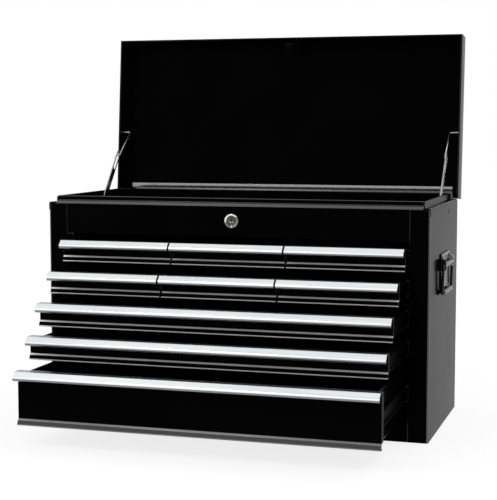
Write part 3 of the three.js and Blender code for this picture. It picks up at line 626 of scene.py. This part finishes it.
def is_small(low, high):
    return high.x - low.x < SMALL_WIDTH


def front_drop(low, high):
    """How far the small drawers' fronts and pulls lie below those of the solids."""
    return SMALL_FRONT_DROP if is_small(low, high) else 0.0


def tray_face(high):
    """Place of the front's outer face, from the tray's highest corner."""
    return high.y - TRAY_DEPTH


def front_cap(low, high):
    """Height of the front's folded top, in the middle of the sheet."""
    return high.z - HALF - front_drop(low, high)


def add_front(bm, low, high):
    """Front, folded over above and ending below in a stepped lip."""
    face = tray_face(high)
    cap = front_cap(low, high)
    bottom = low.z
    front = folded([
        (face + FRONT_RETURN, cap - HEM_DEPTH),
        (face + FRONT_RETURN, cap),
        (face + HALF, cap),
        (face + HALF, bottom + LIP_HEIGHT + LIP_STEP),
        (face + HALF - LIP_STEP, bottom + LIP_HEIGHT),
        (face + HALF - LIP_REACH, bottom + HALF),
        (face + LIP_RETURN, bottom + HALF),
    ], FRONT_BEND)
    sheet_prism(bm, front, SHEET, "X", low.x, high.x)


def add_tub(bm, low, high):
    """Floor with the side walls in one sheet, and the back, all with hemmed edges."""
    wall_top = high.z + FRONT_TOP_DROP - TRAY_TOP_DROP - HALF
    floor = low.z + TRAY_FLOOR_RISE + HALF
    outer = (low.x + TRAY_SIDE_GAP + HALF, high.x - TRAY_SIDE_GAP - HALF)
    inner = (outer[0] + 2 * HEM, outer[1] - 2 * HEM)
    tub = folded([
        (inner[0], wall_top - HEM_DEPTH),
        (inner[0], wall_top, HEM),
        (outer[0], wall_top, HEM),
        (outer[0], floor),
        (outer[1], floor),
        (outer[1], wall_top, HEM),
        (inner[1], wall_top, HEM),
        (inner[1], wall_top - HEM_DEPTH),
    ], BEND)
    sheet_prism(bm, tub, SHEET, "Y", tray_face(high) + HALF, high.y)
    rear = high.y - HALF
    back_top = wall_top - TRAY_BACK_DROP
    back = folded([
        (rear - 2 * HEM, back_top - HEM_DEPTH),
        (rear - 2 * HEM, back_top, HEM),
        (rear, back_top, HEM),
        (rear, floor),
    ], BEND)
    sheet_prism(bm, back, SHEET, "X", outer[0], outer[1])


def add_side_returns(bm, low, high):
    """The front's sides, turned back along the walls."""
    face = tray_face(high)
    foot = low.z + LIP_HEIGHT + LIP_STEP
    for x in (low.x + HALF, high.x - HALF):
        flap = folded([(x, foot), (x, front_cap(low, high))], BEND)
        sheet_prism(bm, flap, SHEET, "Y", face + HALF, face + FRONT_SIDE_RETURN)


def add_rails(bm, low, high):
    """Slides on both walls of a small drawer."""
    top = high.z + FRONT_TOP_DROP
    centre = low.z + (top - low.z + TRAY_FLOOR_RISE - TRAY_TOP_DROP) / 2
    half = RAIL_HEIGHT / 2 - SHEET - RAIL_CLEARANCE - HALF
    for side, wall in ((-1, low.x + TRAY_SIDE_GAP), (1, high.x - TRAY_SIDE_GAP)):
        web = wall + side * (HALF - LAP)
        lip = wall + side * RAIL_FLANGE
        rail = folded([
            (lip, centre + half),
            (web, centre + half),
            (web, centre - half),
            (lip, centre - half),
        ], SHEET)
        sheet_prism(bm, rail, SHEET, "Y", tray_face(high) + RAIL_START, high.y - RAIL_END)


def build_drawer(node):
    low, high = box_mm(node)
    bm = bmesh.new()
    add_front(bm, low, high)
    add_tub(bm, low, high)
    add_side_returns(bm, low, high)
    if is_small(low, high):
        add_rails(bm, low, high)
    dress(node, bm, TRAY_EDGE)


def build_pull(node):
    low, high = box_mm(node)
    face = high.y - PULL_HOOK
    top = high.z - front_drop(low, high)
    half = PULL_WALL / 2
    leg = face - FIT - half
    nose = face - PULL_REACH + half
    bm = bmesh.new()
    section = folded([
        (leg, top - PULL_LEG),
        (leg, top - half - PULL_CHAMFER),
        (leg - PULL_CHAMFER, top - half),
        (face - PULL_DECK, top - half),
        (nose, top - half - (PULL_REACH - half - PULL_DECK)),
        (nose, top - PULL_NOSE),
        (nose + PULL_SKIRT_LEAN, top - PULL_SKIRT),
        (nose + PULL_LIP_IN, top - PULL_HEIGHT + half),
    ], PULL_RADIUS)
    sheet_prism(bm, section, PULL_WALL, "X", low.x, high.x)
    hook = folded([(leg - half, top - half), (high.y, top - half)], PULL_RADIUS)
    sheet_prism(bm, hook, PULL_WALL, "X", low.x, high.x)
    pull = dress(node, bm, PULL_EDGE)

    # The inside of the pull's leg gets the painted shade of the ends.
    def on_leg(normal, place):
        return normal.y < 0 and place.y > -PULL_WALL

    mark_faces(pull, PULL_ENDS_PAINTED_SHADE, on_leg, (0, leg, 0))


for name in DRAWERS:
    build_drawer(name)
    build_pull("pull_" + name.removeprefix("drawer_"))


# Header

FRONT_SHOULDER = 8.5
RIM_ROLL = 1.6
HEADER_RETURN = 12.0
HEADER_SKIN_END = 368.0
BEVEL_FOOT = 375.4
BEVEL_RISE = 5.7
MOUTH_HALF = 296.7


def build_header():
    low, high = box_mm("header_panel")
    face = low.y
    rim = face + FRONT_SHOULDER + HALF
    skin = rim + 2 * RIM_ROLL
    bevel = [
        (face + HALF, BEVEL_FOOT),
        (rim, BEVEL_FOOT + BEVEL_RISE),
        (rim, high.z - HALF, RIM_ROLL),
        (skin, high.z - HALF, RIM_ROLL),
        (skin, HEADER_SKIN_END),
    ]
    whole = [(face + HEADER_RETURN, low.z + HALF), (face + HALF, low.z + HALF)] + bevel
    bm = bmesh.new()
    sheet_prism(bm, folded(whole, BEND), SHEET, "X", -MOUTH_HALF, MOUTH_HALF)
    for start, end in ((low.x, -MOUTH_HALF), (MOUTH_HALF, high.x)):
        sheet_prism(bm, folded(bevel, BEND), SHEET, "X", start, end)
    dress("header_panel", bm)


build_header()


# Lock

LOCK_EDGE = 0.1
LOCK_BORE = 6.3
LOCK_BARREL = 9.3
LOCK_STEP = 3.2
# Radius and place along the lock's axis, which points back from the header's face
BEZEL_DISH = [
    (6.3, -1.4), (6.8, -1.5), (7.2, -1.9), (7.6, -1.9), (8.0, -2.0), (8.4, -2.5), (8.8, -2.5),
]
BEZEL_RING = [
    (9.2, -2.8), (9.7, -3.1), (10.3, -3.2), (10.9, -3.1), (11.5, -2.8), (12.0, -2.3),
    (12.35, -1.6), (12.5, -0.9), (12.5, -0.3),
]
GLINT_HEIGHT = 3.0
GLINT_SLOPE = 0.5
PLUG_FACE = [
    (0.0, -0.6), (0.9, -0.75), (1.7, -1.15), (2.4, -1.75), (2.8, -2.1), (3.3, -2.2), (4.4, -2.1),
    (5.4, -1.9), (5.9, -1.6), (6.0, -1.2),
]
PLUG_BOWL = 2.8
PLUG_RADIUS = 6.0
PLUG_END = 22.0
PLUG_INSET = 1.0
STUD_RADIUS = 3.0
SCREW_RADIUS = 5.0
SCREW_LENGTH = 2.0
KEY_WIDTH = 1.4
KEY_HEIGHT = 7.6
KEY_DEPTH = 12.0


def build_lock():
    low, high = box_mm("lock_barrel")
    centre = (low + high) / 2
    face = low.y + LOCK_STEP
    rear = high.y - face
    seat = BEZEL_RING[-1][1]
    dish = BEZEL_DISH[-1][0]
    axis = (centre.x, face, centre.z)
    bm = bmesh.new()
    lathe(bm, BEZEL_DISH + BEZEL_RING + [
        (LOCK_BARREL, seat), (LOCK_BARREL, rear), (LOCK_BORE, rear),
    ], axis)
    barrel = dress("lock_barrel", bm, LOCK_EDGE)

    # The dish round the plug gets a painted dark reflection; the ring's upper side a painted glint.
    def in_dish(normal, place):
        return normal.y < 0 and from_axis(place) < dish

    def on_glint(normal, place):
        above = place.z > GLINT_HEIGHT + GLINT_SLOPE * place.x
        return normal.y < 0 and from_axis(place) > dish and above

    mark_faces(barrel, NICKEL_PAINTED_DARK_REFLECTION, in_dish, axis)
    mark_faces(barrel, NICKEL_PAINTED_GLINT, on_glint, axis)


def cut(bm, cutter):
    """Takes the cutter out of the solid, and frees both."""
    solid = new_piece(bm, "solid")
    tool = new_piece(cutter, "cutter")
    taken = solid.modifiers.new("cut", "BOOLEAN")
    taken.operation = "DIFFERENCE"
    taken.solver = "EXACT"
    taken.object = tool
    left = bmesh.new()
    left.from_object(solid, bpy.context.evaluated_depsgraph_get())
    for piece in (solid, tool):
        bpy.data.meshes.remove(piece.data)
    return left


def build_plug():
    low, high = box_mm("lock_plug")
    centre = (low + high) / 2
    front = low.y - PLUG_INSET
    face = front + LOCK_STEP
    rear = high.y - face
    axis = (centre.x, face, centre.z)
    bm = bmesh.new()
    lathe(bm, PLUG_FACE + [
        (PLUG_RADIUS, PLUG_END), (STUD_RADIUS, PLUG_END), (STUD_RADIUS, rear - SCREW_LENGTH),
        (SCREW_RADIUS, rear - SCREW_LENGTH), (SCREW_RADIUS, rear), (0.0, rear),
    ], axis)
    half_width = KEY_WIDTH / 2
    half_height = KEY_HEIGHT / 2
    slot = bmesh.new()
    outline_prism(slot, [
        Vector((centre.x - half_width, centre.z - half_height)),
        Vector((centre.x + half_width, centre.z - half_height)),
        Vector((centre.x + half_width, centre.z + half_height)),
        Vector((centre.x - half_width, centre.z + half_height)),
    ], "Y", front, low.y + KEY_DEPTH)
    plug = dress("lock_plug", cut(bm, slot), LOCK_EDGE)

    # A painted glint low in the plug's bowl.
    def in_bowl(normal, place):
        return normal.y < 0 and from_axis(place) < PLUG_BOWL and place.z < -half_width

    mark_faces(plug, NICKEL_PAINTED_GLINT, in_bowl, axis)


build_lock()
build_plug()


# Stiffener along the lid's rear edge, drawn in the closed lid

HINGE = Vector((151.3, 374.6))
LID_OPEN = math.radians(-95)
STIFFENER_PATH = [
    (145.4, 386.9), (145.4, 420.5), (141.4, 418.55), (137.4, 417.1), (133.4, 416.1), (129.4, 415.5),
    (125.0, 415.5),
]
STIFFENER_CORNER = 2.0
STIFFENER_CURVE = 14.0


def build_stiffener():
    low, high = box_mm("lid_rear_stiffener")
    path = [HINGE + turned_by(Vector(point) - HINGE, LID_OPEN) for point in STIFFENER_PATH]
    path[1] = (*path[1], STIFFENER_CORNER)
    bm = bmesh.new()
    sheet_prism(bm, folded(path, STIFFENER_CURVE), SHEET, "X", low.x, high.x)
    dress("lid_rear_stiffener", bm)


build_stiffener()


# Carrying handles

PLATE_SHEET = 2.0
PLATE_CORNER = 5.0
PIVOT_DROP = 18.5
RIVET_INSET = 7.0
RIVET_RADIUS = 3.0
RIVET_HEIGHT = 1.2
RIVET_BAND = 0.2
RIVET_SIDES = 24
DOME_STEPS = 6
EAR_RISE = 11.0
EAR_FALL = 9.0
EAR_TOP_CORNER = 6.5
EAR_LOW_CORNER = 3.5
KNUCKLE_RADIUS = 4.0
BAIL_RADIUS = 2.5
BAIL_CLEARANCE = 0.4
BAIL_TAIL = 10.0
BAIL_DROP = 46.0
BAIL_LEAN = 1.3
BAIL_BEND = 4.0
GRIP_RADIUS = 4.2
GRIP_END_RADIUS = 3.2
GRIP_TAPER = 2.0
GRIP_STEPS = 5
GRIP_SIDES = 32
GRIP_EDGE = 0.1
EAR_FACE_LIMIT = -0.9
EAR_EDGE_LIMIT = 0.1


def rivet_dome():
    """Half outline of a rivet's head, from its foot inside the plate to its top."""
    dome = [(0, -LAP), (RIVET_RADIUS, -LAP), (RIVET_RADIUS, RIVET_BAND)]
    for step in range(1, DOME_STEPS):
        angle = step / DOME_STEPS * math.pi / 2
        rise = (RIVET_HEIGHT - RIVET_BAND) * math.sin(angle)
        dome.append((RIVET_RADIUS * math.cos(angle), RIVET_BAND + rise))
    return dome + [(0, RIVET_HEIGHT)]


def grip_outline(reach):
    """Outline of the grip's wall with both ends rounded, reaching as far to either side."""
    end = [(BAIL_RADIUS + FIT, reach), (GRIP_END_RADIUS, reach)]
    for step in range(1, GRIP_STEPS + 1):
        angle = step / GRIP_STEPS * math.pi / 2
        radius = GRIP_END_RADIUS + (GRIP_RADIUS - GRIP_END_RADIUS) * math.sin(angle)
        end.append((radius, reach - GRIP_TAPER * (1 - math.cos(angle))))
    return [(radius, -along) for radius, along in end] + end[::-1]


def build_plate(name, side, pivot, middle, half):
    """Plate with two ears, the knuckle between them and two rivets."""
    low, high = box_mm("handle_plate_" + name)
    back, reach = sorted((side * low.x, side * high.x))
    face = back + PLATE_SHEET
    foot = face - LAP
    bm = bmesh.new()
    outline = rounded_outline([
        (middle - half, low.z),
        (middle + half, low.z),
        (middle + half, high.z),
        (middle - half, high.z),
    ], [PLATE_CORNER] * 4)
    outline_prism(bm, outline, "X", side * back, side * face)
    ear = rounded_outline([
        (side * foot, pivot.z - EAR_FALL),
        (side * reach, pivot.z - EAR_FALL),
        (side * reach, pivot.z + EAR_RISE),
        (side * foot, pivot.z + EAR_RISE),
    ], [0, EAR_LOW_CORNER, EAR_TOP_CORNER, 0])
    for start in (middle - half, middle + half - PLATE_SHEET):
        outline_prism(bm, ear, "Y", start, start + PLATE_SHEET)
    bore = BAIL_RADIUS + BAIL_CLEARANCE
    end = half - PLATE_SHEET + LAP
    knuckle = [(KNUCKLE_RADIUS, -end), (KNUCKLE_RADIUS, end), (bore, end), (bore, -end)]
    lathe(bm, knuckle, (side * pivot.x, middle, pivot.z))
    dome = [(radius, side * along) for radius, along in rivet_dome()]
    for sign in (-1, 1):
        place = middle + sign * (half - PLATE_SHEET - RIVET_INSET)
        lathe(bm, dome, (side * face, place, high.z - RIVET_INSET), "X", RIVET_SIDES)
    plate = dress("handle_plate_" + name, bm)
    ear_start = middle + half - PLATE_SHEET - LAP

    # The rear ear gets a painted highlight on its rounded outer edge and painted light on its face.
    def on_ear_edge(normal, place):
        outward = min(side * normal.x, normal.z) > EAR_EDGE_LIMIT
        return place.y >= ear_start and abs(normal.y) < EAR_EDGE_LIMIT and outward

    def on_ear_face(normal, place):
        return place.y >= ear_start and normal.y < EAR_FACE_LIMIT

    mark_faces(plate, EAR_EDGE_PAINTED_HIGHLIGHT, on_ear_edge)
    mark_faces(plate, EAR_FACE_PAINTED_LIGHT, on_ear_face)


def build_bail(name, side, pivot, middle, half):
    upper = (side * pivot.x, pivot.z)
    lower = (side * (pivot.x - BAIL_LEAN), pivot.z - BAIL_DROP)
    tail = half - BAIL_TAIL
    arm = half + BAIL_CLEARANCE + BAIL_BEND
    corners = [
        (upper, -tail),
        (upper, -arm),
        (lower, -arm),
        (lower, arm),
        (upper, arm),
        (upper, tail),
    ]
    bm = bmesh.new()
    sweep(bm, [(x, middle + along, z) for (x, z), along in corners], BAIL_RADIUS, BAIL_BEND)
    dress("handle_bail_" + name, bm)


def build_grip(name, side, pivot, middle):
    low, high = box_mm("handle_grip_" + name)
    outline = grip_outline((high.y - low.y) / 2)
    place = (side * (pivot.x - BAIL_LEAN), middle, pivot.z - BAIL_DROP)
    bm = bmesh.new()
    lathe(bm, outline, place, "Y", GRIP_SIDES)
    dress("handle_grip_" + name, bm, GRIP_EDGE)


def build_handle(name, side):
    """One side's handle. The pivot's x counts outward from the chest's middle."""
    low, high = box_mm("handle_plate_" + name)
    reach = max(side * low.x, side * high.x)
    middle = (low.y + high.y) / 2
    half = (high.y - low.y) / 2
    pivot = Vector((reach - KNUCKLE_RADIUS, middle, high.z - PIVOT_DROP))
    build_plate(name, side, pivot, middle, half)
    build_bail(name, side, pivot, middle, half)
    build_grip(name, side, pivot, middle)


for name, side in (("left", -1), ("right", 1)):
    build_handle(name, side)


# Stage, in metres

FLOOR_GLOW = 0.82
FLOOR_SHADE = 0.2
FLOOR_NEAR = 0.7
FLOOR_FAR = 2.2
FLOOR_REACH = 12.0
FLOOR_DROP = 0.0006
WORLD_LIGHT = 0.8
WHITE = 1.0
SENSOR_WIDTH = 36
LENS = 95.14
CAMERA_PLACE = (0.66338, -2.22107, 0.50682)
CAMERA_DOWN = 5.344
CAMERA_TURN = 17.007


def combine(tree, operation, one, two):
    """One number from two."""
    node = tree.nodes.new("ShaderNodeMath")
    node.operation = operation
    tree.links.new(one, node.inputs[0])
    tree.links.new(two, node.inputs[1])
    return node.outputs[0]


def seen_rays(tree):
    """1 for camera, glossy and transmission rays, which all see the white background."""
    path = tree.nodes.new("ShaderNodeLightPath")
    seen = combine(tree, "MAXIMUM", path.outputs["Is Camera Ray"], path.outputs["Is Glossy Ray"])
    return combine(tree, "MAXIMUM", seen, path.outputs["Is Transmission Ray"])


def floor_material():
    """White at a distance, and a little darker near the chest, where it takes the shadow."""
    material, tree, shader = new_material("pale floor")
    tree.nodes.remove(shader)
    place = tree.nodes.new("ShaderNodeTexCoord")
    reach = tree.nodes.new("ShaderNodeVectorMath")
    reach.operation = "LENGTH"
    tree.links.new(place.outputs["Object"], reach.inputs[0])
    far = add(tree, "ShaderNodeMapRange",
              From_Min=FLOOR_NEAR, From_Max=FLOOR_FAR, To_Min=FLOOR_GLOW, To_Max=WHITE)
    far.interpolation_type = "SMOOTHSTEP"
    tree.links.new(reach.outputs["Value"], far.inputs["Value"])
    shade = add(tree, "ShaderNodeMapRange",
                From_Min=FLOOR_GLOW, From_Max=WHITE, To_Min=FLOOR_SHADE, To_Max=0.0)
    tree.links.new(far.outputs["Result"], shade.inputs["Value"])
    matt = tree.nodes.new("ShaderNodeBsdfDiffuse")
    tree.links.new(shade.outputs["Result"], matt.inputs["Color"])
    glow = tree.nodes.new("ShaderNodeEmission")
    strength = combine(tree, "MULTIPLY", far.outputs["Result"], seen_rays(tree))
    tree.links.new(strength, glow.inputs["Strength"])
    both = tree.nodes.new("ShaderNodeAddShader")
    tree.links.new(matt.outputs[0], both.inputs[0])
    tree.links.new(glow.outputs[0], both.inputs[1])
    tree.links.new(both.outputs[0], tree.nodes["Material Output"].inputs["Surface"])
    return material


def build_floor():
    mesh = bpy.data.meshes.new("floor")
    corners = [(-1, -1), (1, -1), (1, 1), (-1, 1)]
    mesh.from_pydata([(x * FLOOR_REACH, y * FLOOR_REACH, 0) for x, y in corners], [], [range(4)])
    floor = bpy.data.objects.new("floor", mesh)
    floor.location.z = -FLOOR_DROP
    mesh.materials.append(floor_material())
    bpy.context.scene.collection.objects.link(floor)


def build_world():
    world = bpy.data.worlds.new("studio")
    world.use_nodes = True
    bpy.context.scene.world = world
    tree = world.node_tree
    background = tree.nodes["Background"]
    background.inputs["Color"].default_value = (1, 1, 1, 1)
    level = add(tree, "ShaderNodeMapRange", To_Min=WORLD_LIGHT, To_Max=WHITE)
    tree.links.new(seen_rays(tree), level.inputs["Value"])
    tree.links.new(level.outputs["Result"], background.inputs["Strength"])


def area_light(name, place, target, size, watts):
    data = bpy.data.lights.new(name, "AREA")
    data.shape = "RECTANGLE"
    data.size, data.size_y = size
    data.energy = watts
    light = bpy.data.objects.new(name, data)
    light.location = place
    light.rotation_euler = (Vector(target) - Vector(place)).to_track_quat("-Z", "Y").to_euler()
    bpy.context.scene.collection.objects.link(light)


def build_lights():
    area_light("softbox above", place=(1.1, 0.5, 2.2), target=(0, 0, 0.3), size=(1.4, 1.0),
               watts=12)
    area_light("softbox front", place=(-0.75, -1.55, 1.95), target=(0, -0.15, 0.35),
               size=(0.45, 0.45), watts=7)
    area_light("softbox left", place=(-2.0, -1.2, 1.2), target=(0, 0, 0.3), size=(1.0, 1.6),
               watts=8)


def build_camera():
    data = bpy.data.cameras.new("camera")
    data.sensor_width = SENSOR_WIDTH
    data.lens = LENS
    camera = bpy.data.objects.new("camera", data)
    camera.location = CAMERA_PLACE
    camera.rotation_euler = Euler((math.radians(90 - CAMERA_DOWN), 0, math.radians(CAMERA_TURN)))
    bpy.context.scene.collection.objects.link(camera)
    bpy.context.scene.camera = camera


build_floor()
build_world()
build_lights()
build_camera()
bpy.context.scene.view_settings.view_transform = "Standard"
